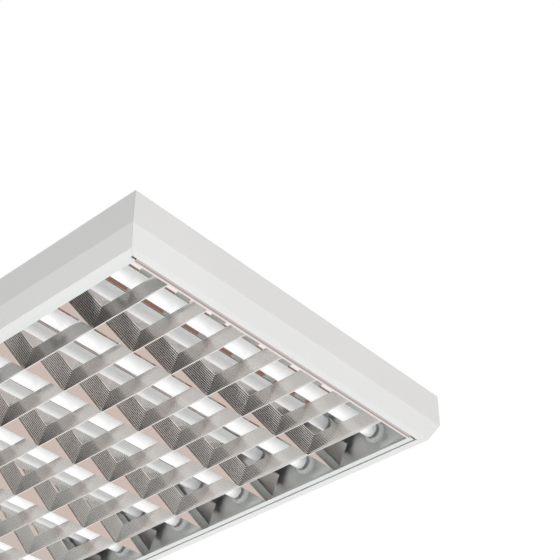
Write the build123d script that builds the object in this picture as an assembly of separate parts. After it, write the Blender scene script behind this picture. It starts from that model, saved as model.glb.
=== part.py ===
"""Louvered ceiling light: a folded-steel body, mirror troughs, tubes and a hinged aluminium louvre.

Millimetres. The origin is the centre of the ceiling face, +Z is up, X runs along the tubes and Y across them.
"""
import os
from math import radians, tan

from build123d import *

# Tubes, and the spacing that sets the body's length and width
LAMP_COUNT = 6
LAMP_LENGTH = 590.0
LAMP_PITCH = 145.0
LAMP_DROP = 26.0
CAP_RADIUS = 13.0
CAP_LENGTH = 8.0
GLASS_RADIUS = 12.8
GLASS_WALL = 0.8
PIN_RADIUS = 1.17
PIN_LENGTH = 6.0
PIN_SPACING = 12.7
PIN_SIDES = 8

# Body of folded steel sheet
BODY_HEIGHT = 79.0
BODY_WALL = 1.0
END_SPACE = 25.0
SIDE_SPACE = 37.0
LEAN_RISE = 26.0
LEAN_RUN = 14.0
LIP_WIDTH = 12.0
SEAM = 0.6
CORNER_RELIEF = 1.8
WELD_FLANGE = 15.0

# Ceiling fixings and cable entry
FIXING_SPACING = 360.0
FIXING_RADIUS = 3.25
ENTRY_RADIUS = 11.0
GROMMET_BORE = 8.0
GROMMET_FLANGE = 3.0
GROMMET_DEPTH = 2.5

# Lampholders and the end plates that carry them
PLATE_WALL = 0.6
PLATE_FOOT = 6.5
SHELF_CLEAR = 1.0
SHELF_WIDTH = 11.0
HOLDER_RADIUS = 17.0
HOLDER_FACE = 6.0
HOLDER_GAP = 0.2
ENTRY_SLOT = 3.0
NECK_WIDTH = 20.0
NECK_HEIGHT = 24.0
BACK_WIDTH = 24.0
BACK_HEIGHT = 26.0
BACK_DEPTH = 10.0
ROTOR_RADIUS = 9.2
ROTOR_DEPTH = 3.7
ROTOR_PLAY = 0.1
ROTOR_SLOT = 2.6

# Mirror troughs over the tubes, with a channel between neighbours
MIRROR_WALL = 0.5
MIRROR_DROP = 3.0
MIRROR_INSET = 10.0
FLAT_EDGE = 31.5
SHOULDER_EDGE = 22.0
SHOULDER_DROP = 3.4
CHANNEL_EDGE = 11.0
CHANNEL_DEPTH = 24.0
CHANNEL_GAP = 5.0

# Hangers and clamp screws of the troughs
HANGER_SPACING = 450.0
HANGER_DEPTH = 12.0
HANGER_WIDTH = 18.0
HANGER_WALL = 1.0
SCREW_RADIUS = 2.0
SCREW_LENGTH = 8.0
SCREW_HEAD_RADIUS = 6.0
SCREW_HEAD = 2.2
HEAD_SIDES = 12
SHANK_SIDES = 6

# Ballasts, supply terminals and wiring
BALLAST_LENGTH = 230.0
BALLAST_WIDTH = 28.0
BALLAST_HEIGHT = 17.0
BALLAST_BEVEL = 1.5
FOOT_LENGTH = 15.0
FOOT_WALL = 1.5
STUD_RADIUS = 2.0
STUD_LENGTH = 8.0
NUT_RADIUS = 4.0
NUT_HEIGHT = 3.2
NUT_SIDES = 6
TERMINAL_START = 40.0
TERMINAL_WAYS = 5
TERMINAL_PITCH = 10.0
TERMINAL_WIDTH = 30.0
TERMINAL_HEIGHT = 15.0
WELL_SIZE = 5.0
WELL_DEPTH = 8.0
LOOM_RADIUS = 3.0
LEAD_RADIUS = 1.5
WIRE_SIDES = 8

# Louvre of V reflectors, cross blades and rails
LOUVRE_GAP = 1.5
LOUVRE_END_GAP = 0.6
LOUVRE_LIFT = 2.0
RAIL_WIDTH = 10.0
RAIL_HEIGHT = 12.0
RAIL_WALL = 0.8
RAIL_NOTCH = 4.0
V_ANGLE = 26.0
V_CLEAR = 2.8
V_WALL = 0.5
SIDE_FLANGE = 9.5
SIDE_FACE_RISE = 17.0
EDGE_RISE = 10.0
EDGE_RADIUS = 7.0
BLADE_COUNT = 7
BLADE_CLEAR = 4.0
BLADE_WALL = 1.0
BEAD_WIDTH = 1.8
BEAD_HEIGHT = 1.6
RIB_COUNT = 11
RIB_DEPTH = 0.4
FIT = 0.1

# Louvre hinge and spring catches
HINGE_INSET = 6.0
HINGE_LIFT = 6.0
HINGE_PIN_RADIUS = 2.0
HINGE_PIN_END = 1.0
HINGE_PLAY = 0.08
TAB_LENGTH = 8.6
TAB_WALL = 2.0
BRACKET_LENGTH = 15.0
BRACKET_INSET = 6.0
BRACKET_WALL = 2.0
BRACKET_RISE = 5.0
BRACKET_FOOT = 1.2
CATCH_WIDTH = 14.0
CATCH_WALL = 0.6
CATCH_PLAY = 0.3
CATCH_LEAN = 2.4
CATCH_NOSE = 8.0
CATCH_TIP = 4.0

# Sizes that follow from those above
LENGTH = LAMP_LENGTH + 2 * END_SPACE
WIDTH = LAMP_COUNT * LAMP_PITCH + 2 * SIDE_SPACE
MARGIN = LEAN_RUN + LIP_WIDTH
LOUVRE_HALF_X = LENGTH / 2 - MARGIN - LOUVRE_END_GAP
LOUVRE_HALF_Y = WIDTH / 2 - MARGIN - LOUVRE_GAP
BLADE_PITCH = (LENGTH - 2 * MARGIN) / (BLADE_COUNT + 1)
V_SLOPE = tan(radians(V_ANGLE))
RIDGES = [(j - LAMP_COUNT / 2) * LAMP_PITCH for j in range(LAMP_COUNT + 1)]
LAMPS = [(k - (LAMP_COUNT - 1) / 2) * LAMP_PITCH for k in range(LAMP_COUNT)]

LIP_Z = -BODY_HEIGHT
LIP_TOP = LIP_Z + BODY_WALL
SHEET_Z = -BODY_WALL
MIRROR_Z = -MIRROR_DROP
CHANNEL_Z = MIRROR_Z - CHANNEL_DEPTH
LAMP_Z = MIRROR_Z - LAMP_DROP
LOUVRE_Z = LIP_Z + LOUVRE_LIFT
RIDGE_Z = LOUVRE_Z + BEAD_HEIGHT
V_TOP = CHANNEL_Z - SCREW_HEAD - V_CLEAR
BLADE_TOP = LAMP_Z - CAP_RADIUS - BLADE_CLEAR
HOLDER_X = LAMP_LENGTH / 2 + HOLDER_GAP
PLATE_X = HOLDER_X + HOLDER_FACE
SHELF_Z = LAMP_Z + BACK_HEIGHT / 2 + SHELF_CLEAR
CLEAR = 1.0

parts = {}


def prism_x(points, x0, x1):
    """Extrudes a closed outline of (y, z) points from x0 to x1."""
    face = make_face(Polyline(*[(x0, y, z) for y, z in points], close=True))
    return extrude(face, amount=x1 - x0, dir=(1, 0, 0))


def prism_y(points, y0, y1):
    """Extrudes a closed outline of (x, z) points from y0 to y1."""
    face = make_face(Polyline(*[(x, y0, z) for x, z in points], close=True))
    return extrude(face, amount=y1 - y0, dir=(0, 1, 0))


def prism_z(points, z0, z1):
    """Extrudes a closed outline of (x, y) points from z0 to z1."""
    face = make_face(Polyline(*[(x, y, z0) for x, y in points], close=True))
    return extrude(face, amount=z1 - z0, dir=(0, 0, 1))


def block(x, y, z):
    """A box, from its limits along each axis in either order."""
    (x0, x1), (y0, y1), (z0, z1) = sorted(x), sorted(y), sorted(z)
    return prism_z([(x0, y0), (x1, y0), (x1, y1), (x0, y1)], z0, z1)


def rod(start, end, radius, sides=0):
    """A bar from one point to another, round or with a number of sides."""
    way = Vector(*end) - Vector(*start)
    section = RegularPolygon(radius, sides) if sides else Circle(radius)
    return extrude(Plane(start, z_dir=way) * section, amount=way.length)


def folded(path, wall):
    """Outline of a folded sheet: the path and its copy a wall to its left, mitred at the folds."""
    steps = [(Vector(*b) - Vector(*a)).normalized() for a, b in zip(path, path[1:])]
    sides = [Vector(-step.Y, step.X) for step in steps]
    copy = []
    for i, point in enumerate(path):
        before, after = sides[max(i - 1, 0)], sides[min(i, len(sides) - 1)]
        across = (before + after).normalized()
        moved = Vector(*point) + across * (wall / across.dot(after))
        copy.append((moved.X, moved.Y))
    return path + copy[::-1]


def flipped(points, sign):
    """The outline itself, or its mirror image in the first coordinate."""
    return [(sign * a, b) for a, b in points]


def group(solids):
    """Several loose solids as one node."""
    return Compound([shape.solid() for shape in solids])


def wall_path(half):
    """Lip, leaning wall and upright wall of the body, for its half size across."""
    return [(half - MARGIN, LIP_Z), (half - LEAN_RUN, LIP_Z), (half, LIP_Z + LEAN_RISE)]


def side_wedge(sign, shift):
    """The space of one side plate, between the two mitred corners and under the ceiling sheet."""
    depth = MARGIN + WELD_FLANGE
    outer, inner = WIDTH / 2 + CLEAR, WIDTH / 2 - depth
    wide, narrow = LENGTH / 2 + CLEAR + shift, LENGTH / 2 - depth + shift
    outline = [(-wide, outer), (wide, outer), (narrow, inner), (-narrow, inner)]
    return prism_z([(x, sign * y) for x, y in outline], LIP_Z - CLEAR, SHEET_Z)


# Relief notches at the corners of the body's folds, shared by the trough and the side plates
reliefs = []
for x_sign in (-1, 1):
    for y_sign in (-1, 1):
        for inset, z in ((0, 0), (0, LIP_Z + LEAN_RISE), (LEAN_RUN, LIP_Z)):
            notch = Box(CORNER_RELIEF, CORNER_RELIEF, CORNER_RELIEF)
            reliefs.append(Pos(x_sign * (LENGTH / 2 - inset), y_sign * (WIDTH / 2 - inset), z) * notch)

# Folded trough: the ceiling sheet, both end walls and their lips, mitred where the side plates meet it
end_path = wall_path(LENGTH / 2) + [(LENGTH / 2, 0)]
trough_path = flipped(end_path, -1) + end_path[::-1]
trough = prism_y(folded(trough_path, -BODY_WALL), -WIDTH / 2, WIDTH / 2)
for sign in (-1, 1):
    trough -= side_wedge(sign, SEAM / 2)
fixings = [(x, y) for x in (-FIXING_SPACING / 2, FIXING_SPACING / 2) for y in (RIDGES[1], RIDGES[-2])]
for x, y in fixings:
    trough -= rod((x, y, SHEET_Z - CLEAR), (x, y, CLEAR), FIXING_RADIUS)
entry_y = RIDGES[2]
trough -= rod((0, entry_y, SHEET_Z - CLEAR), (0, entry_y, CLEAR), ENTRY_RADIUS)
parts["housing_trough"] = trough - reliefs

# Side plates: the same lip and walls, with a flange that is spot-welded under the ceiling sheet
side_path = wall_path(WIDTH / 2) + [(WIDTH / 2, SHEET_Z), (WIDTH / 2 - WELD_FLANGE, SHEET_Z)]
for sign, side in ((-1, "front"), (1, "back")):
    outline = flipped(folded(side_path, BODY_WALL), sign)
    plate = prism_x(outline, -LENGTH / 2, LENGTH / 2) & side_wedge(sign, -SEAM / 2)
    parts[f"side_plate_{side}"] = plate - reliefs

# End plates: a foot on the lip, a web with a window for each holder, and a shelf for the wiring
plate_path = [
    (PLATE_X - PLATE_FOOT, LIP_TOP),
    (PLATE_X + PLATE_WALL, LIP_TOP),
    (PLATE_X + PLATE_WALL, SHELF_Z),
    (PLATE_X + SHELF_WIDTH, SHELF_Z),
]
window_y, window_z = NECK_WIDTH / 2 + FIT, NECK_HEIGHT / 2 + FIT
for sign, end in ((-1, "hinge"), (1, "catch")):
    plate = prism_y(flipped(folded(plate_path, PLATE_WALL), sign), -LOUVRE_HALF_Y, LOUVRE_HALF_Y)
    for y in LAMPS:
        reach = (sign * (PLATE_X - CLEAR), sign * (PLATE_X + PLATE_WALL + CLEAR))
        plate -= block(reach, (y - window_y, y + window_y), (LAMP_Z - window_z, LAMP_Z + window_z))
    parts[f"end_reflector_{end}"] = plate

# Lampholders: a round face with the entry slot, a neck through the plate and a contact block behind it
neck_end = PLATE_X + PLATE_WALL
well_end = LAMP_LENGTH / 2 + PIN_LENGTH + CLEAR
neck_y, neck_z = NECK_WIDTH / 2, NECK_HEIGHT / 2
back_y, back_z = BACK_WIDTH / 2, BACK_HEIGHT / 2
for sign, end in ((-1, "hinge"), (1, "catch")):
    holders = []
    for y in LAMPS:
        holder = rod((sign * HOLDER_X, y, LAMP_Z), (sign * PLATE_X, y, LAMP_Z), HOLDER_RADIUS)
        holder += block(
            (sign * PLATE_X, sign * neck_end), (y - neck_y, y + neck_y), (LAMP_Z - neck_z, LAMP_Z + neck_z)
        )
        holder += block(
            (sign * neck_end, sign * (neck_end + BACK_DEPTH)),
            (y - back_y, y + back_y),
            (LAMP_Z - back_z, LAMP_Z + back_z),
        )
        holder -= rod(
            (sign * (HOLDER_X - CLEAR), y, LAMP_Z), (sign * well_end, y, LAMP_Z), ROTOR_RADIUS + ROTOR_PLAY
        )
        holder -= block(
            (sign * (HOLDER_X - CLEAR), sign * PLATE_X),
            (y - ENTRY_SLOT / 2, y + ENTRY_SLOT / 2),
            (LAMP_Z - HOLDER_RADIUS - CLEAR, LAMP_Z),
        )
        holders.append(holder)
    parts[f"lampholders_{end}"] = group(holders)

# Tubes, each with two pinned caps and the rotors that turn with it in the holders
glass_half = LAMP_LENGTH / 2 - CAP_LENGTH
slot_length = PIN_SPACING + 2 * PIN_RADIUS + 2 * ROTOR_PLAY
for k, y in enumerate(LAMPS, start=1):
    tube = rod((-glass_half, y, LAMP_Z), (glass_half, y, LAMP_Z), GLASS_RADIUS)
    tube -= rod((-glass_half, y, LAMP_Z), (glass_half, y, LAMP_Z), GLASS_RADIUS - GLASS_WALL)
    parts[f"lamp_tube_{k}"] = tube
    caps, rotors = [], []
    for sign in (-1, 1):
        end_x = sign * LAMP_LENGTH / 2
        cap = rod((sign * glass_half, y, LAMP_Z), (end_x, y, LAMP_Z), CAP_RADIUS)
        for pin_y in (y - PIN_SPACING / 2, y + PIN_SPACING / 2):
            pin_tip = (end_x + sign * PIN_LENGTH, pin_y, LAMP_Z)
            cap += rod((end_x, pin_y, LAMP_Z), pin_tip, PIN_RADIUS, PIN_SIDES)
        caps.append(cap)
        front = sign * (HOLDER_X + ROTOR_PLAY)
        rear = front + sign * ROTOR_DEPTH
        rotor = rod((front, y, LAMP_Z), (rear, y, LAMP_Z), ROTOR_RADIUS)
        rotor -= block(
            (front - sign * CLEAR, rear + sign * CLEAR),
            (y - slot_length / 2, y + slot_length / 2),
            (LAMP_Z - ROTOR_SLOT / 2, LAMP_Z + ROTOR_SLOT / 2),
        )
        rotors.append(rotor)
    parts[f"lamp_caps_{k}"] = group(caps)
    parts[f"rotors_{k}"] = group(rotors)

# Mirror troughs: a flat over the tube, a shallow shoulder, a steep facet and a flange at the channel
half_pitch = LAMP_PITCH / 2
mirror_half = LAMP_LENGTH / 2 - MIRROR_INSET
mirror_right = [
    (half_pitch - FLAT_EDGE, MIRROR_Z),
    (half_pitch - SHOULDER_EDGE, MIRROR_Z - SHOULDER_DROP),
    (half_pitch - CHANNEL_EDGE, CHANNEL_Z),
    (half_pitch - CHANNEL_GAP / 2, CHANNEL_Z),
]
mirror_path = flipped(mirror_right, -1)[::-1] + mirror_right
for k, lamp_y in enumerate(LAMPS, start=1):
    outline = [(lamp_y + y, z) for y, z in folded(mirror_path, MIRROR_WALL)]
    parts[f"lamp_reflector_{k}"] = prism_x(outline, -mirror_half, mirror_half)

# Hangers under the ceiling sheet, and the flanged screws that clamp the troughs' flanges to their slotted feet
hanger_foot = CHANNEL_Z + MIRROR_WALL
slot_half = SCREW_RADIUS + FIT
hangers, screws = [], []
for x in (-HANGER_SPACING / 2, HANGER_SPACING / 2):
    front, rear = x + HANGER_DEPTH / 2, x - HANGER_DEPTH / 2
    hanger_path = [(front, hanger_foot), (rear, hanger_foot), (rear, SHEET_Z), (front, SHEET_Z)]
    for y in RIDGES:
        hanger = prism_y(folded(hanger_path, -HANGER_WALL), y - HANGER_WIDTH / 2, y + HANGER_WIDTH / 2)
        hanger -= block(
            (x - slot_half, front + CLEAR), (y - slot_half, y + slot_half), (CHANNEL_Z, hanger_foot + HANGER_WALL)
        )
        hangers.append(hanger)
        screw = rod((x, y, CHANNEL_Z - SCREW_HEAD), (x, y, CHANNEL_Z), SCREW_HEAD_RADIUS, HEAD_SIDES)
        screw += rod((x, y, CHANNEL_Z), (x, y, CHANNEL_Z + SCREW_LENGTH), SCREW_RADIUS, SHANK_SIDES)
        screws.append(screw)
parts["reflector_hangers"] = group(hangers)
parts["reflector_screws"] = group(screws)


def stud(x, y, seat, length):
    """A weld stud under the ceiling sheet with its hexagon nut against a seat."""
    nut = rod((x, y, seat - NUT_HEIGHT), (x, y, seat), NUT_RADIUS, NUT_SIDES)
    return nut + rod((x, y, SHEET_Z - length), (x, y, SHEET_Z), STUD_RADIUS, SHANK_SIDES)


# Ballasts in every second channel, hung by their slotted feet from weld studs
ballasts, studs = [], []
ballast_rows = RIDGES[1:-1:2]
foot_x = BALLAST_LENGTH / 2 + FOOT_LENGTH / 2
for y in ballast_rows:
    across = (y - BALLAST_WIDTH / 2, y + BALLAST_WIDTH / 2)
    case = block((-BALLAST_LENGTH / 2, BALLAST_LENGTH / 2), across, (SHEET_Z - BALLAST_HEIGHT, SHEET_Z))
    case = chamfer(case.edges().filter_by(Axis.X).group_by(Axis.Z)[0], BALLAST_BEVEL)
    ballast = case + block(
        (-BALLAST_LENGTH / 2 - FOOT_LENGTH, BALLAST_LENGTH / 2 + FOOT_LENGTH), across, (SHEET_Z - FOOT_WALL, SHEET_Z)
    )
    stud_half = STUD_RADIUS + FIT
    for sign in (-1, 1):
        slot_x = (sign * (foot_x - stud_half), sign * (foot_x + FOOT_LENGTH))
        ballast -= block(slot_x, (y - stud_half, y + stud_half), (SHEET_Z - FOOT_WALL, SHEET_Z))
        studs.append(stud(sign * foot_x, y, SHEET_Z - FOOT_WALL, STUD_LENGTH))
    ballasts.append(ballast)
parts["ballasts"] = group(ballasts)
parts["ballast_studs"] = group(studs)

# Supply side: terminal block with its screw wells, earth stud and the grommet of the cable entry
terminal_end = TERMINAL_START + TERMINAL_WAYS * TERMINAL_PITCH
terminal = block(
    (TERMINAL_START, terminal_end),
    (entry_y - TERMINAL_WIDTH / 2, entry_y + TERMINAL_WIDTH / 2),
    (SHEET_Z - TERMINAL_HEIGHT, SHEET_Z),
)
for way in range(TERMINAL_WAYS):
    well_x = TERMINAL_START + (way + 0.5) * TERMINAL_PITCH
    foot_z = SHEET_Z - TERMINAL_HEIGHT
    terminal -= block(
        (well_x - WELL_SIZE / 2, well_x + WELL_SIZE / 2),
        (entry_y - WELL_SIZE / 2, entry_y + WELL_SIZE / 2),
        (foot_z, foot_z + WELL_DEPTH),
    )
parts["terminal_block"] = terminal
parts["earth_stud"] = stud(-TERMINAL_START, entry_y, SHEET_Z - STUD_LENGTH / 4, STUD_LENGTH)
grommet = rod((0, entry_y, SHEET_Z), (0, entry_y, 0), ENTRY_RADIUS - FIT)
grommet += rod((0, entry_y, SHEET_Z - GROMMET_DEPTH), (0, entry_y, SHEET_Z), ENTRY_RADIUS + GROMMET_FLANGE)
grommet -= rod((0, entry_y, SHEET_Z - GROMMET_DEPTH - CLEAR), (0, entry_y, CLEAR), GROMMET_BORE)
parts["cable_grommet"] = grommet

# Wiring: a loom on each end plate's shelf, and leads along the channels from the ballasts and terminals
loom_x = PLATE_X + SHELF_WIDTH - LOOM_RADIUS
loom_z = SHELF_Z + PLATE_WALL + LOOM_RADIUS
lead_end = loom_x - LOOM_RADIUS
lead_offset = HANGER_WIDTH / 2 + LEAD_RADIUS + CLEAR
leads = [(sign, BALLAST_LENGTH / 2, y + lead_offset) for sign in (-1, 1) for y in ballast_rows]
leads.append((1, terminal_end, entry_y + lead_offset))
wires = []
for sign in (-1, 1):
    loom_ends = [(sign * loom_x, y, loom_z) for y in (LAMPS[0], LAMPS[-1])]
    wires.append(rod(*loom_ends, LOOM_RADIUS, WIRE_SIDES))
for sign, start, y in leads:
    wires.append(rod((sign * start, y, loom_z), (sign * lead_end, y, loom_z), LEAD_RADIUS, WIRE_SIDES))
parts["wiring"] = group(wires)

# V reflectors: one bent strip each, from rail to rail
v_half_x = LOUVRE_HALF_X - RAIL_WALL
v_half_y = (V_TOP - RIDGE_Z) * V_SLOPE
for j, y in enumerate(RIDGES[1:-1], start=1):
    v_path = [(y - v_half_y, V_TOP), (y, RIDGE_Z), (y + v_half_y, V_TOP)]
    parts[f"v_reflector_{j}"] = prism_x(folded(v_path, V_WALL), -v_half_x, v_half_x)

# Side reflectors: a rolled outer edge, a lower flange, half a V and an upright, between the rails' flanges
ridge_y = LOUVRE_HALF_Y - SIDE_FLANGE
upright_y = ridge_y + SIDE_FACE_RISE * V_SLOPE
side_half_x = LOUVRE_HALF_X - RAIL_WIDTH
side_v_path = [
    (LOUVRE_HALF_Y, LOUVRE_Z + EDGE_RISE),
    (LOUVRE_HALF_Y, LOUVRE_Z),
    (ridge_y, LOUVRE_Z),
    (upright_y, LOUVRE_Z + SIDE_FACE_RISE),
    (upright_y, V_TOP),
]
for sign, side in ((-1, "front"), (1, "back")):
    outline = flipped(folded(side_v_path, -V_WALL), sign)
    reflector = prism_x(outline, -side_half_x, side_half_x)
    for depth in (V_WALL, 0):
        corner = (0, sign * (LOUVRE_HALF_Y - depth), LOUVRE_Z + depth)
        edge = reflector.edges().filter_by(Axis.X).sort_by_distance(corner)[0]
        reflector = fillet(edge, EDGE_RADIUS - depth)
    parts[f"side_reflector_{side}"] = reflector


def blade_outline(x):
    """Section of a cross blade: a bead along the lower edge and ribs on both faces above it."""
    rib_pitch = (BLADE_TOP - RIDGE_Z) / RIB_COUNT
    right = [(BEAD_WIDTH / 2, LOUVRE_Z), (BEAD_WIDTH / 2, RIDGE_Z), (BLADE_WALL / 2, RIDGE_Z)]
    for rib in range(RIB_COUNT):
        right.append((BLADE_WALL / 2 + RIB_DEPTH, RIDGE_Z + (rib + 0.5) * rib_pitch))
        right.append((BLADE_WALL / 2, RIDGE_Z + (rib + 1) * rib_pitch))
    return [(x + a, z) for a, z in right + flipped(right, -1)[::-1]]


# Cross blades: notched from above for the V reflectors, and cut to the side reflectors at their ends
cut_top = V_TOP + CLEAR
cuts = []
apex_z = RIDGE_Z - FIT / V_SLOPE
cut_half = (cut_top - apex_z) * V_SLOPE
for y in RIDGES[1:-1]:
    cuts.append([(y, apex_z), (y + cut_half, cut_top), (y - cut_half, cut_top)])
end_cut = [
    (ridge_y - FIT, LOUVRE_Z - CLEAR),
    (ridge_y - FIT, LOUVRE_Z),
    (upright_y - FIT, LOUVRE_Z + SIDE_FACE_RISE),
    (upright_y - FIT, cut_top),
    (WIDTH / 2, cut_top),
    (WIDTH / 2, LOUVRE_Z - CLEAR),
]
cuts += [end_cut, flipped(end_cut, -1)]
for i in range(BLADE_COUNT):
    x = (i - (BLADE_COUNT - 1) / 2) * BLADE_PITCH
    blade = prism_y(blade_outline(x), -upright_y, upright_y)
    reach = BEAD_WIDTH + CLEAR
    blade -= [prism_x(cut, x - reach, x + reach) for cut in cuts]
    parts[f"cross_blade_{i + 1}"] = blade

# Rails across the louvre's ends, notched at the corners; the hinge rail has a tab at each notch for its pin
hinge_x = HINGE_INSET - LOUVRE_HALF_X
hinge_z = LOUVRE_Z + HINGE_LIFT
rail_path = [
    (LOUVRE_HALF_X - RAIL_WIDTH, LOUVRE_Z),
    (LOUVRE_HALF_X, LOUVRE_Z),
    (LOUVRE_HALF_X, LOUVRE_Z + RAIL_HEIGHT),
]
rail_outline = folded(rail_path, RAIL_WALL)
notch_y = LOUVRE_HALF_Y - RAIL_NOTCH
rails = []
for x_sign in (-1, 1):
    rail = prism_y(flipped(rail_outline, x_sign), -LOUVRE_HALF_Y, LOUVRE_HALF_Y)
    for y_sign in (-1, 1):
        rail -= block(
            (x_sign * (LOUVRE_HALF_X - RAIL_WIDTH), x_sign * (LOUVRE_HALF_X - RAIL_WALL)),
            (y_sign * notch_y, y_sign * LOUVRE_HALF_Y),
            (LOUVRE_Z, LOUVRE_Z + RAIL_WALL),
        )
    rails.append(rail)
hinge_rail, parts["louvre_rail_catch"] = rails
tab_x = (RAIL_WALL - LOUVRE_HALF_X, RAIL_WALL + TAB_LENGTH - LOUVRE_HALF_X)
tab_z = (LOUVRE_Z + RAIL_WALL, LOUVRE_Z + RAIL_HEIGHT)
bracket_x = (hinge_x - BRACKET_LENGTH / 2, hinge_x + BRACKET_LENGTH / 2)
bracket_y = WIDTH / 2 - LEAN_RUN - BRACKET_INSET
brackets, pins = [], []
for sign in (-1, 1):
    tab_in, tab_out = sign * (notch_y - TAB_WALL), sign * notch_y
    hinge_rail += block(tab_x, (tab_in, tab_out), tab_z)
    bore = rod((hinge_x, sign * LOUVRE_HALF_Y / 2, hinge_z), (hinge_x, sign * WIDTH / 2, hinge_z), HINGE_PIN_RADIUS)
    hinge_rail -= bore
    pin_end = sign * (bracket_y + HINGE_PIN_END)
    pins.append(rod((hinge_x, tab_in, hinge_z), (hinge_x, pin_end, hinge_z), HINGE_PIN_RADIUS))
    bracket = block(
        bracket_x, (sign * bracket_y, sign * (bracket_y - BRACKET_WALL)), (LIP_TOP, hinge_z + BRACKET_RISE)
    )
    bracket += block(
        bracket_x, (sign * bracket_y, sign * (WIDTH / 2 - MARGIN)), (LIP_TOP, LIP_TOP + BRACKET_FOOT)
    )
    bracket -= rod(
        (hinge_x, sign * (bracket_y + CLEAR), hinge_z),
        (hinge_x, sign * (bracket_y - BRACKET_WALL - CLEAR), hinge_z),
        HINGE_PIN_RADIUS + HINGE_PLAY,
    )
    brackets.append(bracket)
parts["louvre_rail_hinge"] = hinge_rail
parts["hinge_pins"] = group(pins)
parts["hinge_brackets"] = group(brackets)

# Spring catches on the far end plate's foot, whose noses bear on the louvre rail
seat_z = LIP_TOP + PLATE_WALL
nose_x = LOUVRE_HALF_X + CATCH_PLAY
catch_path = [
    (PLATE_X - CLEAR, seat_z),
    (nose_x + CATCH_LEAN, seat_z),
    (nose_x, seat_z + CATCH_NOSE),
    (nose_x + CATCH_LEAN, seat_z + CATCH_NOSE + CATCH_TIP),
]
catches = []
for y in (LAMPS[1], LAMPS[-2]):
    catches.append(prism_y(folded(catch_path, -CATCH_WALL), y - CATCH_WIDTH / 2, y + CATCH_WIDTH / 2))
parts["catch_clips"] = group(catches)

os.makedirs("parts", exist_ok=True)
for name, shape in parts.items():
    export_step(shape, f"parts/{name}.step")
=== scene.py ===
from math import cos, degrees, pi, radians, sin

import bmesh
import bpy
from mathutils import Matrix, Vector


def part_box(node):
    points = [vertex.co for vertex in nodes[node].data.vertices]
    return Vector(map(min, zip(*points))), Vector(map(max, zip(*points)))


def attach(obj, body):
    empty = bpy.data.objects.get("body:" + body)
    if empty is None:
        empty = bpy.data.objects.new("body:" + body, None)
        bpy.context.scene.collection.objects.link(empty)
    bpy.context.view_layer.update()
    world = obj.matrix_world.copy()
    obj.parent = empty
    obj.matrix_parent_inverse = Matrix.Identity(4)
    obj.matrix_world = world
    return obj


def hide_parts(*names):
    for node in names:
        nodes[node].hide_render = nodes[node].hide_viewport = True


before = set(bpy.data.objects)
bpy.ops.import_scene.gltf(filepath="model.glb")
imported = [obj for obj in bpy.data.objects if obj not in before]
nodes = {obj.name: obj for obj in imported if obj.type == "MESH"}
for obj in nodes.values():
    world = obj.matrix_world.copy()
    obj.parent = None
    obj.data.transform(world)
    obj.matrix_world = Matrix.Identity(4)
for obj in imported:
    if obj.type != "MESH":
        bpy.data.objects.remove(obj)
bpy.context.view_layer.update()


# The body: a trough of folded steel sheet that screws to the ceiling, closed at its sides by two folded
# plates that are spot-welded under it. All of it is powder coated satin white after welding.
class Field:
    """A socket in a node tree; arithmetic on it adds Math nodes."""

    def __init__(self, socket):
        self.socket = socket

    def node(self, kind, settings=None, inputs=None, output=0):
        """Adds a node, its settings first, then the values or links of its sockets."""
        tree = self.socket.id_data
        made = tree.nodes.new(kind)
        for key, value in (settings or {}).items():
            setattr(made, key, value)
        for key, value in (inputs or {}).items():
            if isinstance(value, Field):
                tree.links.new(value.socket, made.inputs[key])
            else:
                made.inputs[key].default_value = value
        return Field(made.outputs[output])

    def maths(self, operation, *values):
        return self.node("ShaderNodeMath", {"operation": operation}, dict(enumerate(values)))

    def __add__(self, other):
        return self.maths("ADD", self, other)

    def __mul__(self, other):
        return self.maths("MULTIPLY", self, other)

    def __sub__(self, other):
        return self.maths("SUBTRACT", self, other)

    def __rsub__(self, other):
        return self.maths("SUBTRACT", other, self)

    __radd__ = __add__
    __rmul__ = __mul__

    def axis(self, letter):
        """One of a vector's three parts, by its letter."""
        return self.node("ShaderNodeSeparateXYZ", {}, {0: self}, output="XYZ".index(letter))

    def noise(self, scale, detail=2.0, stretch=(1, 1, 1)):
        """Noise over the surface, about 0.5, with its grain drawn out where stretch is small."""
        place = self.node("ShaderNodeMapping", {}, {"Vector": self, "Scale": stretch})
        return self.node("ShaderNodeTexNoise", {}, {"Vector": place, "Scale": scale, "Detail": detail})

    def between(self, first, second):
        """A colour that goes from the first to the second as the field goes from 0 to 1."""
        ends = [end if isinstance(end, Field) else (*end, 1) for end in (first, second)]
        return self.node("ShaderNodeMix", {"data_type": "RGBA"}, {0: self, 6: ends[0], 7: ends[1]}, output=2)

    def ramp(self, low, high):
        """The field, from 0 at low to 1 at high."""
        limits = {"Value": self, "From Min": low, "From Max": high}
        return self.node("ShaderNodeMapRange", {"interpolation_type": "SMOOTHSTEP"}, limits)

    def bump(self, height):
        """A surface normal for the field as a relief of that height in metres."""
        return self.node("ShaderNodeBump", {}, {"Height": self, "Strength": 1.0, "Distance": height})


def finish(name, sockets):
    """A new material, with what is even all over set on its shader, and its Object coordinates."""
    material = bpy.data.materials.new(name)
    material.use_nodes = True
    shader = material.node_tree.nodes["Principled BSDF"]
    for key, value in sockets.items():
        shader.inputs[key].default_value = value
    coordinates = material.node_tree.nodes.new("ShaderNodeTexCoord")
    return material, Field(coordinates.outputs["Object"])


def feed(material, sockets):
    """Links what changes over the surface to the material's shader."""
    tree = material.node_tree
    for key, field in sockets.items():
        tree.links.new(field.socket, tree.nodes["Principled BSDF"].inputs[key])


PEEL_SCALE = 420.0
PEEL_DEPTH = 0.00002
DRIFT_SCALE = 2.6
DRIFT_RANGE = (0.35, 0.65)
GLOSS_SCALE = 60.0
GLOSS_SPREAD = 0.08


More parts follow.
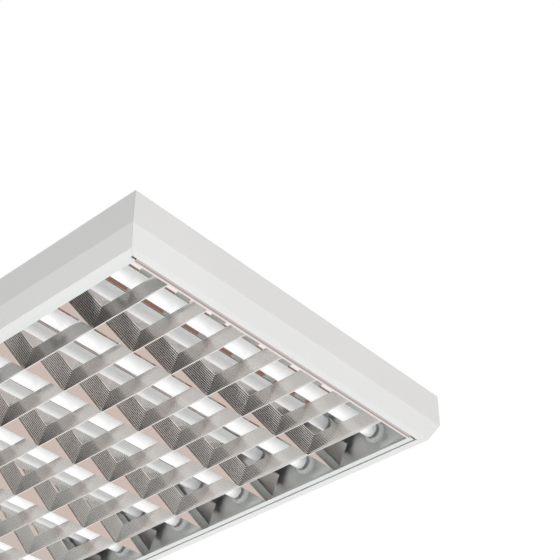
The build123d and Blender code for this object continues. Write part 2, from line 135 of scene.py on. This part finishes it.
def powder_coat(name, pale, shade, roughness):
    """Powder coat: a faint orange peel and a slow drift of its white."""
    material, place = finish(name, {"Specular IOR Level": 0.4})
    drift = place.noise(DRIFT_SCALE)
    feed(material, {
        "Base Color": drift.ramp(*DRIFT_RANGE).between(shade, pale),
        "Roughness": roughness + GLOSS_SPREAD * place.noise(GLOSS_SCALE),
        "Normal": place.noise(PEEL_SCALE, 3.0).bump(PEEL_DEPTH),
    })
    return material


def place_piece(piece, body, slot, *stands_for):
    """Puts a finished piece into the scene on its body, in place of CAD nodes."""
    bpy.context.scene.collection.objects.link(piece)
    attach(piece, body)
    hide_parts(*stands_for)


MERGE_DISTANCE = 0.000002
FLAT_BEND = 0.5
CREASE_BEND = 35
ROUNDING_STEPS = 3


def soften(name, body, slot, material, width, bends, stretch=0.0):
    """A CAD node's shape with the edges that bend between two angles, in degrees, rounded over a width, and
    its ends drawn out along X by a stretch."""
    low, high = bends
    shape = bmesh.new()
    shape.from_mesh(nodes[name].data)
    reach = max(abs(vertex.co.x) for vertex in shape.verts)
    for vertex in shape.verts:
        vertex.co.x *= 1 + stretch / reach
    bmesh.ops.remove_doubles(shape, verts=shape.verts, dist=MERGE_DISTANCE)
    bmesh.ops.dissolve_limit(shape, angle_limit=radians(FLAT_BEND), verts=shape.verts, edges=shape.edges)
    weight = shape.edges.layers.float.new("bevel_weight_edge")
    for edge in shape.edges:
        bend = degrees(edge.calc_face_angle(0))
        edge[weight] = 1.0 if low < bend < high else 0.0
        edge.smooth = bend < max(low, CREASE_BEND)
    for face in shape.faces:
        face.smooth = True
    mesh = bpy.data.meshes.new(f"{name}_soft")
    shape.to_mesh(mesh)
    shape.free()
    mesh.materials.append(material)
    piece = bpy.data.objects.new(f"{name}_soft", mesh)
    rounding = piece.modifiers.new("rounding", "BEVEL")
    rounding.limit_method = "WEIGHT"
    rounding.width = width
    rounding.segments = ROUNDING_STEPS
    shading = piece.modifiers.new("shading", "WEIGHTED_NORMAL")
    shading.keep_sharp = True
    place_piece(piece, body, slot, name)


white_coat = powder_coat("white_coat", (0.855, 0.855, 0.85), (0.835, 0.835, 0.83), roughness=0.40)
FOLD_BENDS = (12, 70)
FOLD_RADIUS = 0.0016
WELD_FILL = 0.0003
soften("housing_trough", "housing", "white_steel", white_coat, FOLD_RADIUS, FOLD_BENDS)
for name in ("side_plate_front", "side_plate_back"):
    soften(name, "housing", "white_steel", white_coat, FOLD_RADIUS, FOLD_BENDS, WELD_FILL)


# End plates: semi-bright aluminium sheet, folded to a foot on the lip and a shelf for the wires,
# with a window punched for each lampholder. Rolling leaves fine lines along the sheet.
def coat(material, *names):
    """Gives CAD nodes a finish."""
    for name in names:
        nodes[name].data.materials.clear()
        nodes[name].data.materials.append(material)


ROLL_SCALE = 90.0
ROLL_SPREAD = 0.06
WAVE_SCALE = 9.0
ALONG_TUBES = (0.02, 1, 1)
ACROSS_TUBES = (1, 0.02, 1)


def rolled_sheet(name, tint, roughness, line, wave):
    """Rolled aluminium: fine lines along Y or X and a slow waviness of the sheet."""
    material, place = finish(name, {"Metallic": 1.0, "Base Color": (*tint, 1)})
    lines = place.noise(ROLL_SCALE, 4.0, line)
    feed(material, {
        "Roughness": roughness + ROLL_SPREAD * (lines - 0.5),
        "Normal": place.noise(WAVE_SCALE, 1.0).bump(wave),
    })
    return material


end_sheet = rolled_sheet("end_sheet", (0.74, 0.76, 0.75), roughness=0.34, line=ACROSS_TUBES, wave=0.0002)
coat(end_sheet, "end_reflector_hinge", "end_reflector_catch")

# Lampholders: white moulded plastic with a slot for the pins in its round face, pushed through the end
# plate's window and held by the contact block behind it. Their faint glow is painted light that brightens
# their faces.
HOLDER_PAINTED_GLOW = 0.16
HOLDER_ROUNDING = 0.0008
EDGE_BENDS = (50, 120)
holder_plastic_painted_glow, place = finish("holder_plastic_painted_glow", {
    "Specular IOR Level": 0.5, "Emission Strength": HOLDER_PAINTED_GLOW,
})
holder_white = place.noise(scale=30.0).between((0.84, 0.87, 0.86), (0.89, 0.91, 0.90))
feed(holder_plastic_painted_glow, {
    "Base Color": holder_white,
    "Emission Color": holder_white,
    "Roughness": 0.22 + 0.12 * place.noise(scale=160.0),
    "Normal": place.noise(scale=900.0, detail=1.0).bump(height=0.00001),
})
for name in ("lampholders_hinge", "lampholders_catch"):
    soften(name, "housing", "holder_white", holder_plastic_painted_glow, HOLDER_ROUNDING, EDGE_BENDS)

# Mirror troughs: bright anodised aluminium folded over each tube, clamped at the channel between two
# neighbours. Their faces are mirrors with the slight waviness of thin sheet.
LAMP_COUNT = 6
lamps = range(1, LAMP_COUNT + 1)
trough_mirror = rolled_sheet(
    "trough_mirror", (0.90, 0.90, 0.895), roughness=0.05, line=ALONG_TUBES, wave=0.00002
)
coat(trough_mirror, *[f"lamp_reflector_{k}" for k in lamps])

# Hangers and clamp screws: zinc-plated brackets spot-welded under the ceiling sheet, and flanged screws
# with a cross recess that hold the troughs' flanges to their slotted feet.
zinc_plate, place = finish("zinc_plate", {"Metallic": 1.0})
spangle = place.node("ShaderNodeTexVoronoi", {}, {"Vector": place, "Scale": 380.0}, output=1)
grey = spangle.node("ShaderNodeRGBToBW", {}, {0: spangle})
feed(zinc_plate, {
    "Base Color": grey.between((0.56, 0.57, 0.58), (0.66, 0.67, 0.68)),
    "Roughness": 0.28 + 0.14 * grey,
})
coat(zinc_plate, "reflector_hangers")


class Tree:
    """A Geometry Nodes tree with named sizes; its nodes are added one by one."""

    def __init__(self, name, sizes):
        self.group = bpy.data.node_groups.new(name, "GeometryNodeTree")
        self.sizes = sizes
        interface = self.group.interface
        interface.new_socket("Geometry", in_out="INPUT", socket_type="NodeSocketGeometry")
        for size in sizes:
            interface.new_socket(size, in_out="INPUT", socket_type="NodeSocketFloat")
        interface.new_socket("Geometry", in_out="OUTPUT", socket_type="NodeSocketGeometry")
        self.start = self.group.nodes.new("NodeGroupInput")

    def size(self, name):
        return self.start.outputs[name]

    def node(self, kind, settings=None, output=0, **inputs):
        """Adds a node; an input's name is its socket's, with _ for a space."""
        made = self.group.nodes.new(kind)
        for key, value in (settings or {}).items():
            setattr(made, key, value)
        for key, value in inputs.items():
            socket = made.inputs[key.replace("_", " ")]
            for end in value if isinstance(value, list) else [value]:
                if isinstance(end, bpy.types.NodeSocket):
                    self.group.links.new(end, socket)
                else:
                    socket.default_value = end
        return made.outputs[output]

    def vector(self, x=0.0, y=0.0, z=0.0):
        return self.node("ShaderNodeCombineXYZ", X=x, Y=y, Z=z)

    def times(self, size, factor):
        made = self.group.nodes.new("ShaderNodeMath")
        made.operation = "MULTIPLY"
        self.group.links.new(self.size(size), made.inputs[0])
        made.inputs[1].default_value = factor
        return made.outputs[0]

    def rod(self, sides, radius, length):
        """A cylinder about Z, of two of the tree's sizes."""
        sizes = {"Radius": self.size(radius), "Depth": self.size(length)}
        return self.node("GeometryNodeMeshCylinder", {"fill_type": "NGON"}, Vertices=sides, **sizes)

    def raised(self, shape, height, **scale):
        """The shape, moved up by a height."""
        return self.node("GeometryNodeTransform", Geometry=shape, Translation=self.vector(z=height), **scale)

    def close(self, shape, material):
        """Ends the tree in real geometry with its material."""
        real = self.node("GeometryNodeRealizeInstances", Geometry=shape)
        dressed = self.node("GeometryNodeSetMaterial", Geometry=real, Material=material)
        end = self.group.nodes.new("NodeGroupOutput")
        self.group.links.new(dressed, end.inputs[0])

    def grown(self, name, places, material):
        """An object with the plain mesh that the tree makes from points."""
        seed = bpy.data.meshes.new(f"{name}_places")
        seed.from_pydata(places, [], [])
        maker = bpy.data.objects.new(f"{name}_maker", seed)
        bpy.context.scene.collection.objects.link(maker)
        modifier = maker.modifiers.new("grow", "NODES")
        modifier.node_group = self.group
        for item in self.group.interface.items_tree:
            if item.in_out == "INPUT" and item.name in self.sizes:
                modifier[item.identifier] = self.sizes[item.name]
        bpy.context.view_layer.update()
        graph = bpy.context.evaluated_depsgraph_get()
        mesh = bpy.data.meshes.new_from_object(maker.evaluated_get(graph))
        maker.modifiers.remove(modifier)
        bpy.data.objects.remove(maker)
        mesh.name = name
        mesh.materials.clear()
        mesh.materials.append(material)
        mesh.polygons.foreach_set("material_index", [0] * len(mesh.polygons))
        mesh.shade_smooth()
        mesh.set_sharp_from_angle(angle=radians(CREASE_BEND))
        return bpy.data.objects.new(name, mesh)


SCREW = {
    "Head Radius": 0.006, "Flange": 0.0007, "Dome Radius": 0.0046, "Dome Height": 0.0015,
    "Shank Radius": 0.002, "Shank Length": 0.008, "Recess Width": 0.0011, "Recess Length": 0.0054,
    "Recess Depth": 0.0011,
}
HEAD_HEIGHT = SCREW["Flange"] + SCREW["Dome Height"]
HEAD_SIDES = 32
DOME_RINGS = 12
SHANK_SIDES = 16
SLIVER = 0.00003
MOST_SPIN = 1.5
SPIN_SEED = 4


def clamp_screw():
    """The tree that sets a flanged screw, with a domed head and a cross recess, at each point."""
    tree = Tree("clamp_screw", SCREW)
    disc = tree.rod(HEAD_SIDES, "Head Radius", "Flange")
    flange = tree.raised(disc, tree.times("Flange", -0.5))
    ball = tree.node("GeometryNodeMeshUVSphere", Segments=HEAD_SIDES, Rings=DOME_RINGS, Radius=1.0)
    dome_size = tree.vector(tree.size("Dome Radius"), tree.size("Dome Radius"), tree.size("Dome Height"))
    dome = tree.raised(ball, tree.times("Flange", -1.0), Scale=dome_size)
    rod = tree.rod(SHANK_SIDES, "Shank Radius", "Shank Length")
    shank = tree.raised(rod, tree.times("Shank Length", 0.5))
    screw = tree.node("GeometryNodeMeshBoolean", {"operation": "UNION"}, Mesh_2=[flange, dome, shank])
    arms = []
    for wide, deep in (("Recess Length", "Recess Width"), ("Recess Width", "Recess Length")):
        arm_size = tree.vector(tree.size(wide), tree.size(deep), tree.times("Recess Depth", 2.0))
        arms.append(tree.raised(tree.node("GeometryNodeMeshCube", Size=arm_size), -HEAD_HEIGHT))
    screw = tree.node("GeometryNodeMeshBoolean", {"operation": "DIFFERENCE"}, Mesh_1=screw, Mesh_2=arms)
    screw = tree.node("GeometryNodeMergeByDistance", Geometry=screw, Distance=SLIVER)
    points = tree.node("GeometryNodeMeshToPoints", Mesh=tree.start.outputs["Geometry"])
    draw = {"Min": 0.0, "Max": MOST_SPIN, "Seed": SPIN_SEED}
    spin = tree.node("FunctionNodeRandomValue", {"data_type": "FLOAT"}, output=1, **draw)
    turned_about = tree.vector(z=spin)
    screws = tree.node("GeometryNodeInstanceOnPoints", Points=points, Instance=screw, Rotation=turned_about)
    tree.close(screws, zinc_plate)
    return tree


SCREW_END = 0.225
SCREW_ROW = 0.145
SCREW_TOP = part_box("reflector_screws")[0].z + HEAD_HEIGHT
screw_rows = [(j - LAMP_COUNT // 2) * SCREW_ROW for j in range(LAMP_COUNT + 1)]
screw_places = [(x, y, SCREW_TOP) for x in (-SCREW_END, SCREW_END) for y in screw_rows]
clamp_screws = clamp_screw().grown("clamp_screws", screw_places, zinc_plate)
place_piece(clamp_screws, "housing", "zinc_steel", "reflector_screws")


# Ballasts: three moulded cases in the channels, each hung by its feet from two weld studs,
# with the terminal block, the earth stud and the rubber grommet of the supply beside them.
MOTTLE_SCALE = 45.0
SHEEN_SCALE = 220.0
SHEEN_SPREAD = 0.1
GRAIN_DEPTH = 0.00002


def moulding(name, pale, dark, roughness, grain):
    """Moulded plastic or rubber with a fine eroded grain."""
    material, place = finish(name, {"Specular IOR Level": 0.4})
    feed(material, {
        "Base Color": place.noise(MOTTLE_SCALE).between(dark, pale),
        "Roughness": roughness + SHEEN_SPREAD * place.noise(SHEEN_SCALE),
        "Normal": place.noise(grain, 1.0).bump(GRAIN_DEPTH),
    })
    return material


GROMMET_ROUNDING = 0.0008
coat(moulding("ballast_case", (0.80, 0.80, 0.78), (0.74, 0.74, 0.72), 0.45, 800.0), "ballasts")
coat(zinc_plate, "ballast_studs")
coat(moulding("terminal_plastic", (0.83, 0.82, 0.79), (0.78, 0.77, 0.74), 0.35, 600.0), "terminal_block")
grommet_rubber = moulding("grommet_rubber", (0.06, 0.06, 0.06), (0.035, 0.035, 0.035), 0.60, 1100.0)
soften("cable_grommet", "housing", "grommet_rubber", grommet_rubber, GROMMET_ROUNDING, EDGE_BENDS)
earth_brass, place = finish("earth_brass", {"Metallic": 1.0})
feed(earth_brass, {
    "Base Color": place.noise(scale=140.0).between((0.62, 0.45, 0.20), (0.78, 0.62, 0.32)),
    "Roughness": 0.26 + 0.14 * place.noise(scale=300.0),
})
coat(earth_brass, "earth_stud")
coat(moulding("wire_sleeve", (0.74, 0.74, 0.73), (0.62, 0.62, 0.62), 0.42, 500.0), "wiring")

# Tubes: opal-coated glass between two pressed aluminium caps whose pins turn with the holders' rotors.
# The coating is a little greyer beside the caps, where the electrodes are.
# The tubes are unlit; a weak glow over the whole coating is painted light that brightens them.
TUBE_PAINTED_GLOW = 0.40
GREY_LENGTH = 0.022
OPAL = (0.92, 0.93, 0.93)
END_GREY = (0.66, 0.67, 0.67)
tube_glass_painted_glow, place = finish("tube_glass_painted_glow", {
    "Coat Weight": 0.6, "Coat Roughness": 0.05, "Emission Strength": TUBE_PAINTED_GLOW,
})
from_middle = place.maths("ABSOLUTE", place.axis("X"))
glass_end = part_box("lamp_tube_1")[1].x
greying = from_middle.ramp(glass_end - GREY_LENGTH, glass_end).between(OPAL, END_GREY)
feed(tube_glass_painted_glow, {
    "Base Color": greying,
    "Emission Color": greying,
    "Roughness": 0.22 + 0.1 * place.noise(scale=25.0),
})
cap_metal, place = finish("cap_metal", {"Metallic": 1.0})
feed(cap_metal, {
    "Base Color": place.noise(scale=120.0).between((0.50, 0.50, 0.50), (0.62, 0.62, 0.62)),
    "Roughness": 0.22 + 0.16 * place.noise(scale=90.0, detail=3.0, stretch=(0.1, 1, 1)),
})
CAP_STEPS = 48
CAP_PROFILE = (
    (0.0, 0.0), (0.0, 0.0122), (0.0001, 0.0129), (0.0005, 0.0130), (0.0026, 0.0130),
    (0.0030, 0.0127), (0.0036, 0.0127), (0.0040, 0.0130), (0.0062, 0.0130), (0.0071, 0.0127),
    (0.0077, 0.0121), (0.0080, 0.0113), (0.0080, 0.0100), (0.0074, 0.0097), (0.0074, 0.0),
)
CAP_CREASE = 50
PIN_STEPS = 16
PIN_PROFILE = (
    (0.0070, 0.0), (0.0070, 0.00117), (0.0132, 0.00117), (0.0137, 0.00095), (0.0140, 0.0005), (0.0140, 0.0),
)
PIN_SPACING = 0.0127
CRIMPS = 8
CRIMP_DEPTH = 0.0005
CRIMP_PLACE = (0.0040, 0.0062)


def turned(profile, steps, centre, sign):
    """Rings of a lathe-turned shape along X, from a profile of distances along and radii."""
    rings = []
    for along, radius in profile:
        angles = [2 * pi * step / steps for step in range(steps)]
        offsets = [Vector((sign * along, radius * cos(angle), radius * sin(angle))) for angle in angles]
        rings.append([centre + offset for offset in offsets])
    return rings


def skin(shape, rings):
    """Joins rings of points with faces."""
    loops = [[shape.verts.new(point) for point in ring] for ring in rings]
    for first, second in zip(loops, loops[1:]):
        for k in range(len(first)):
            shape.faces.new((first[k - 1], first[k], second[k], second[k - 1]))


def lamp_cap(shape, centre, sign):
    """A pressed cap with a rolled rim, crimps round its waist and two pins."""
    rings = turned(CAP_PROFILE, CAP_STEPS, centre, sign)
    for (along, radius), ring in zip(CAP_PROFILE, rings):
        if along not in CRIMP_PLACE:
            continue
        for point in ring[::CAP_STEPS // CRIMPS]:
            inward = Vector((0, centre.y - point.y, centre.z - point.z)).normalized()
            point += CRIMP_DEPTH * inward
    skin(shape, rings)
    for side in (-1, 1):
        pin_centre = centre + Vector((0, side * PIN_SPACING / 2, 0))
        skin(shape, turned(PIN_PROFILE, PIN_STEPS, pin_centre, sign))


for k in lamps:
    low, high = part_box(f"lamp_tube_{k}")
    middle = (low + high) / 2
    shape = bmesh.new()
    for sign in (-1, 1):
        lamp_cap(shape, Vector((sign * high.x, middle.y, middle.z)), sign)
    bmesh.ops.remove_doubles(shape, verts=shape.verts, dist=MERGE_DISTANCE)
    bmesh.ops.recalc_face_normals(shape, faces=shape.faces)
    mesh = bpy.data.meshes.new(f"pressed_caps_{k}")
    shape.to_mesh(mesh)
    shape.free()
    mesh.shade_smooth()
    mesh.set_sharp_from_angle(angle=radians(CAP_CREASE))
    mesh.materials.append(cap_metal)
    caps = bpy.data.objects.new(f"pressed_caps_{k}", mesh)
    place_piece(caps, f"lamp_{k}", "cap_metal", f"lamp_caps_{k}")
rotor_plastic = moulding("rotor_plastic", (0.84, 0.84, 0.83), (0.80, 0.80, 0.79), 0.25, 700.0)
coat(tube_glass_painted_glow, *[f"lamp_tube_{k}" for k in lamps])
coat(rotor_plastic, *[f"rotors_{k}" for k in lamps])

# Hinge brackets and spring catches: what the louvre hangs on at one end, and the bent strips of blued
# spring steel that it snaps between at the other.
spring_steel, place = finish("spring_steel", {"Metallic": 1.0})
feed(spring_steel, {
    "Base Color": place.noise(scale=70.0).between((0.20, 0.21, 0.24), (0.32, 0.32, 0.34)),
    "Roughness": 0.25 + 0.15 * place.noise(scale=200.0),
})
coat(zinc_plate, "hinge_brackets", "hinge_pins")
coat(spring_steel, "catch_clips")

# Louvre mirrors: V-shaped strips between the tubes and half a V along each side, bent from bright
# anodised aluminium. They run from rail to rail and hold the cross blades in their place.
louvre_mirror = rolled_sheet(
    "louvre_mirror", (0.85, 0.83, 0.82), roughness=0.04, line=ALONG_TUBES, wave=0.00001
)
coat(louvre_mirror, *[f"v_reflector_{j}" for j in range(1, LAMP_COUNT)])
coat(louvre_mirror, "side_reflector_front", "side_reflector_back")

# Cross blades: aluminium strip with rolled ribs on both faces and a bead along the lower edge, notched from
# above so that each drops over the V mirrors. The rolls press the lower flank of each rib a little steeper
# than the upper, and polish it more.
BLADE_COUNT = 7
RIB_COUNT = 11
BEAD_HEIGHT = 0.0016
BLADE_TINT = (0.87, 0.855, 0.84)
BRIGHT_FLANK = 0.13
DULL_FLANK = 0.31
LINE_SPREAD = 0.02
FLANK_RELIEF = 0.0001
SLOW_WAVE = 0.1
blade_strip, place = finish("blade_strip", {"Metallic": 1.0, "Base Color": (*BLADE_TINT, 1)})
blade_low, blade_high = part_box("cross_blade_1")
rib_base = blade_low.z + BEAD_HEIGHT
rib_pitch = (blade_high.z - rib_base) / RIB_COUNT
ribs_up = (place.axis("Z") - rib_base) * (1 / rib_pitch)
in_rib = ribs_up.maths("FRACT", ribs_up)
upper_flank = in_rib.maths("GREATER_THAN", in_rib, 0.5)
rib_face = in_rib.maths("MINIMUM", 2 * in_rib, 1.0)
lines = place.noise(ROLL_SCALE, 4.0, ACROSS_TUBES)
flanks = BRIGHT_FLANK + (DULL_FLANK - BRIGHT_FLANK) * upper_flank
feed(blade_strip, {
    "Roughness": flanks + LINE_SPREAD * (lines - 0.5),
    "Normal": (rib_face + SLOW_WAVE * place.noise(WAVE_SCALE, 1.0)).bump(FLANK_RELIEF),
})
coat(blade_strip, *[f"cross_blade_{i}" for i in range(1, BLADE_COUNT + 1)])

# Rails: steel angles across the louvre's two ends that close the mirrors, coated white.
# The hinge rail carries the pins, and the catch rail snaps in between the springs.
RAIL_ROUNDING = 0.0004
COAT_BUILD = 0.0004
rail_coat = powder_coat("rail_coat", (0.82, 0.85, 0.835), (0.79, 0.82, 0.805), roughness=0.28)
soften("louvre_rail_hinge", "louvre", "rail_white", rail_coat, RAIL_ROUNDING, EDGE_BENDS)
soften("louvre_rail_catch", "louvre", "rail_white", rail_coat, RAIL_ROUNDING, EDGE_BENDS, COAT_BUILD)

# Stage: a plain pale floor far below the light, soft lamps and a white surround. Only mirrors see a room: on
# the far side a brown strip and beige and pale walls, and behind the camera a light middle with dark beyond
# it and a bright side.
FLOOR_DROP = 4.0
FLOOR_HALF = 30.0
BOARDS_MIDDLE = 0.25
BOARDS_HALF = 0.35
BOARDS_FADE = 0.60
WALL_NEAR = 2.4
WALL_FAR = 3.0
WALL_EDGE = 8.0
SIDE_EDGE = 0.5
LIGHT_EDGE = 5.4
WINDOW_NEAR = 0.3
WINDOW_FAR = 1.5
DARK_EDGE = 6.6
BOARDS = (0.29, 0.15, 0.115)
BEIGE = (0.71, 0.60, 0.545)
NEUTRAL = (0.66, 0.62, 0.60)
PALE = (0.98, 0.95, 0.94)
LIGHT = (0.50, 0.54, 0.53)
DARK = (0.040, 0.034, 0.032)
DUSK = (0.13, 0.12, 0.115)
WINDOW = (1.0, 1.0, 0.99)
floor_mesh = bpy.data.meshes.new("floor")
corners = [(x * FLOOR_HALF, y * FLOOR_HALF, -FLOOR_DROP) for x, y in ((-1, -1), (1, -1), (1, 1), (-1, 1))]
floor_mesh.from_pydata(corners, [], [(0, 1, 2, 3)])
floor = bpy.data.objects.new("floor", floor_mesh)
bpy.context.scene.collection.objects.link(floor)
floor_finish, place = finish("floor_finish", {"Roughness": 0.9, "Specular IOR Level": 0.1})
feed(floor_finish, {"Base Color": place.noise(scale=0.4).between((0.80, 0.80, 0.80), (0.84, 0.84, 0.84))})
level = place.node("ShaderNodeVectorMath", {"operation": "MULTIPLY"}, {0: place, 1: (1, 1, 0)})
away = level.node("ShaderNodeVectorMath", {"operation": "LENGTH"}, {0: level}, output=1)
across = level.axis("Y")
from_boards = across.maths("ABSOLUTE", across - BOARDS_MIDDLE)
beside = from_boards.ramp(BOARDS_HALF, BOARDS_FADE).between(BOARDS, NEUTRAL)
bright = across.ramp(WALL_NEAR, WALL_FAR).between(beside, PALE)
bright = away.ramp(WALL_EDGE, 2 * WALL_EDGE).between(bright, BEIGE)
dim = away.ramp(LIGHT_EDGE, DARK_EDGE).between(LIGHT, DARK)
dim = across.ramp(WINDOW_NEAR, WINDOW_FAR).between(dim, WINDOW)
room = level.axis("X").ramp(-SIDE_EDGE, SIDE_EDGE).between(dim, bright)
mirrored = room.node("ShaderNodeEmission", {}, {"Color": room, "Strength": 1.0})
in_mirror = place.node("ShaderNodeLightPath", output="Is Glossy Ray")
plain = Field(floor_finish.node_tree.nodes["Principled BSDF"].outputs[0])
floor_mix = in_mirror.node("ShaderNodeMixShader", {}, {0: in_mirror, 1: plain, 2: mirrored})
floor_out = floor_finish.node_tree.nodes["Material Output"]
floor_finish.node_tree.links.new(floor_mix.socket, floor_out.inputs["Surface"])
floor_mesh.materials.append(floor_finish)

SURROUND = 0.64
SIDE_TURN = 0.15
WINDOW_TURN = (0.05, 0.25)
world = bpy.data.worlds.new("surround")
bpy.context.scene.world = world
world.use_nodes = True
sky = world.node_tree.nodes["Background"]
light_path = world.node_tree.nodes.new("ShaderNodeLightPath")
seen = Field(light_path.outputs["Is Camera Ray"])
in_mirror = Field(light_path.outputs["Is Glossy Ray"])
for ray in ("Is Glossy Ray", "Is Transmission Ray"):
    seen = seen.maths("MAXIMUM", seen, Field(light_path.outputs[ray]))
way = Field(world.node_tree.nodes.new("ShaderNodeTexCoord").outputs["Generated"])
behind = way.axis("Y").ramp(*WINDOW_TURN).between(DUSK, WINDOW)
around = way.axis("X").ramp(-SIDE_TURN, SIDE_TURN).between(behind, BEIGE)
horizon = in_mirror.between((1, 1, 1), around)
strength = SURROUND + (1 - SURROUND) * seen
world.node_tree.links.new(strength.socket, sky.inputs["Strength"])
world.node_tree.links.new(horizon.socket, sky.inputs["Color"])

MIDDLE = Vector((0, 0, -0.04))


def soft_lamp(name, place, size, power):
    """A square soft lamp, turned to the middle of the light, that mirrors don't show."""
    light = bpy.data.lights.new(name, "AREA")
    light.size = size
    light.energy = power
    lamp = bpy.data.objects.new(name, light)
    lamp.location = place
    lamp.rotation_euler = (MIDDLE - Vector(place)).to_track_quat("-Z", "Y").to_euler()
    lamp.visible_glossy = False
    lamp.visible_camera = False
    bpy.context.scene.collection.objects.link(lamp)


MIRROR_BOUNCES = 10
soft_lamp("key", (0.0, -3.0, -0.5), size=2.4, power=22.5)
soft_lamp("fill", (0.0, 0.2, -3.2), size=2.4, power=46)
soft_lamp("front", (-2.4, -1.6, -1.1), size=1.6, power=1)
bpy.context.scene.cycles.glossy_bounces = MIRROR_BOUNCES

# Camera: where the photograph was taken from, below the corner at the hinge end.
# It looks up and along the tubes, with the picture level.
CAMERA_PLACE = (-1.1535, -1.4776, -1.1733)
CAMERA_AIM = (0.58, 0.5261, 0.6219)
CAMERA_ROLL = 0.2
FOCAL_PIXELS = 1362.4
FRAME_PIXELS = 560
camera_data = bpy.data.cameras.new("camera")
camera_data.sensor_width = 36.0
camera_data.sensor_fit = "HORIZONTAL"
camera_data.lens = camera_data.sensor_width * FOCAL_PIXELS / FRAME_PIXELS
camera = bpy.data.objects.new("camera", camera_data)
aim = Vector(CAMERA_AIM).to_track_quat("-Z", "Y").to_matrix()
turn = aim @ Matrix.Rotation(radians(CAMERA_ROLL), 3, "Z")
camera.matrix_world = Matrix.Translation(CAMERA_PLACE) @ turn.to_4x4()
bpy.context.scene.collection.objects.link(camera)
bpy.context.scene.camera = camera
bpy.context.scene.view_settings.view_transform = "Standard"
